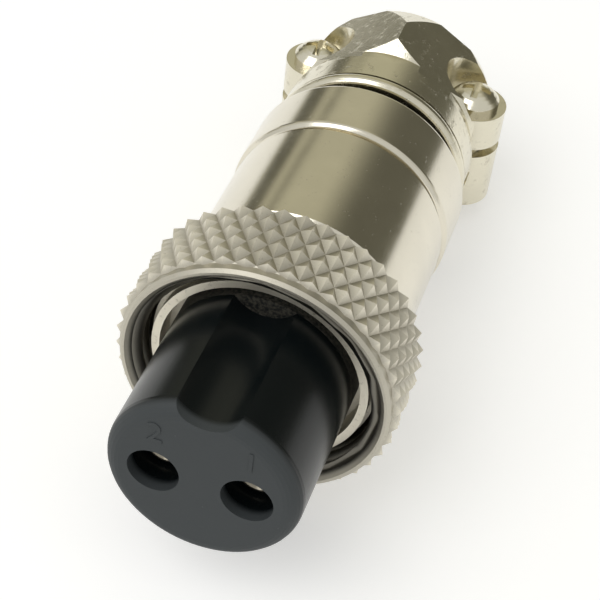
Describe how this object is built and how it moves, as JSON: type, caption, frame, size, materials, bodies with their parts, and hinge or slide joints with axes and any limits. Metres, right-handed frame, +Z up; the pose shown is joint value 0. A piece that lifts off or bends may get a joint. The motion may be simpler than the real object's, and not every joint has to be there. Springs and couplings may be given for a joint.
{
  "type": "aviation plug connector",
  "caption": "Straight cable plug, circular, with a keyed round insert, a knurled coupling nut, a screw-on barrel and a split cable clamp.",
  "frame": {"origin": "on the plug's axis, where the coupling nut's thread starts behind the chamfer of its mouth", "axes": "+Y along the plug's axis from the contacts' face to the cable's way out, +Z up to the keyway and the clamp screws' heads, +X towards contact 1"},
  "size_m": [0.0184, 0.0423, 0.0184],
  "materials": {
    "nickel_nut": "nickel plate over a diamond knurl",
    "nickel_shell": "nickel plate over a rough turned ring",
    "nickel_barrel": "satin nickel plate with fine pits",
    "nickel_clamp": "nickel plate over a casting",
    "nickel_screw": "bright nickel plate",
    "spring_steel": "plain spring steel",
    "contact": "plated turned contact",
    "black_moulding": "black moulded thermoset, matt face and smooth sides"
  },
  "bodies": {
    "shell": {"front_shell": "nickel_shell", "insert": "black_moulding", "insert_clip": "spring_steel", "contact_1": "contact", "contact_2": "contact"},
    "nut_ring": {"nut_snap_ring": "spring_steel"},
    "nut": {"coupling_nut": "nickel_nut"},
    "clamp": {"clamp_base": "nickel_clamp"},
    "rear_barrel": {"barrel": "nickel_barrel"},
    "saddle": {"clamp_saddle": "nickel_clamp"},
    "screw_left": {"clamp_screw_left": "nickel_screw"},
    "screw_right": {"clamp_screw_right": "nickel_screw"}
  },
  "joints": [
    {"name": "nut_slide", "type": "slide", "parent": "shell", "child": "nut_ring", "axis": [0, 1, 0], "range_m": [-0.00155, 0.00115]},
    {"name": "nut_turn", "type": "hinge", "parent": "nut_ring", "child": "nut", "pos_m": [0, 0, 0], "axis": [0, 1, 0], "continuous": true},
    {"name": "clamp_travel", "type": "slide", "parent": "shell", "child": "clamp", "axis": [0, 1, 0], "range_m": [0, 0.00563]},
    {"name": "barrel_turn", "type": "hinge", "parent": "clamp", "child": "rear_barrel", "pos_m": [0, 0.01425, 0], "axis": [0, 1, 0], "range_deg": [0, 2700]},
    {"name": "saddle_lift", "type": "slide", "parent": "clamp", "child": "saddle", "axis": [0, 0, 1], "range_m": [-0.0006, 0.002]},
    {"name": "screw_left_turn", "type": "hinge", "parent": "saddle", "child": "screw_left", "pos_m": [-0.00595, 0.03, 0.0029], "axis": [0, 0, 1], "range_deg": [-541, 1801]},
    {"name": "screw_right_turn", "type": "hinge", "parent": "saddle", "child": "screw_right", "pos_m": [0.00595, 0.03, 0.0029], "axis": [0, 0, 1], "range_deg": [-541, 1801]}
  ],
  "couplings": [
    {"joint": "clamp_travel", "follows": "barrel_turn", "m_per_rad": 0.00011937},
    {"joint": "screw_left_turn", "follows": "saddle_lift", "rad_per_m": 15708},
    {"joint": "screw_right_turn", "follows": "saddle_lift", "rad_per_m": 15708}
  ]
}
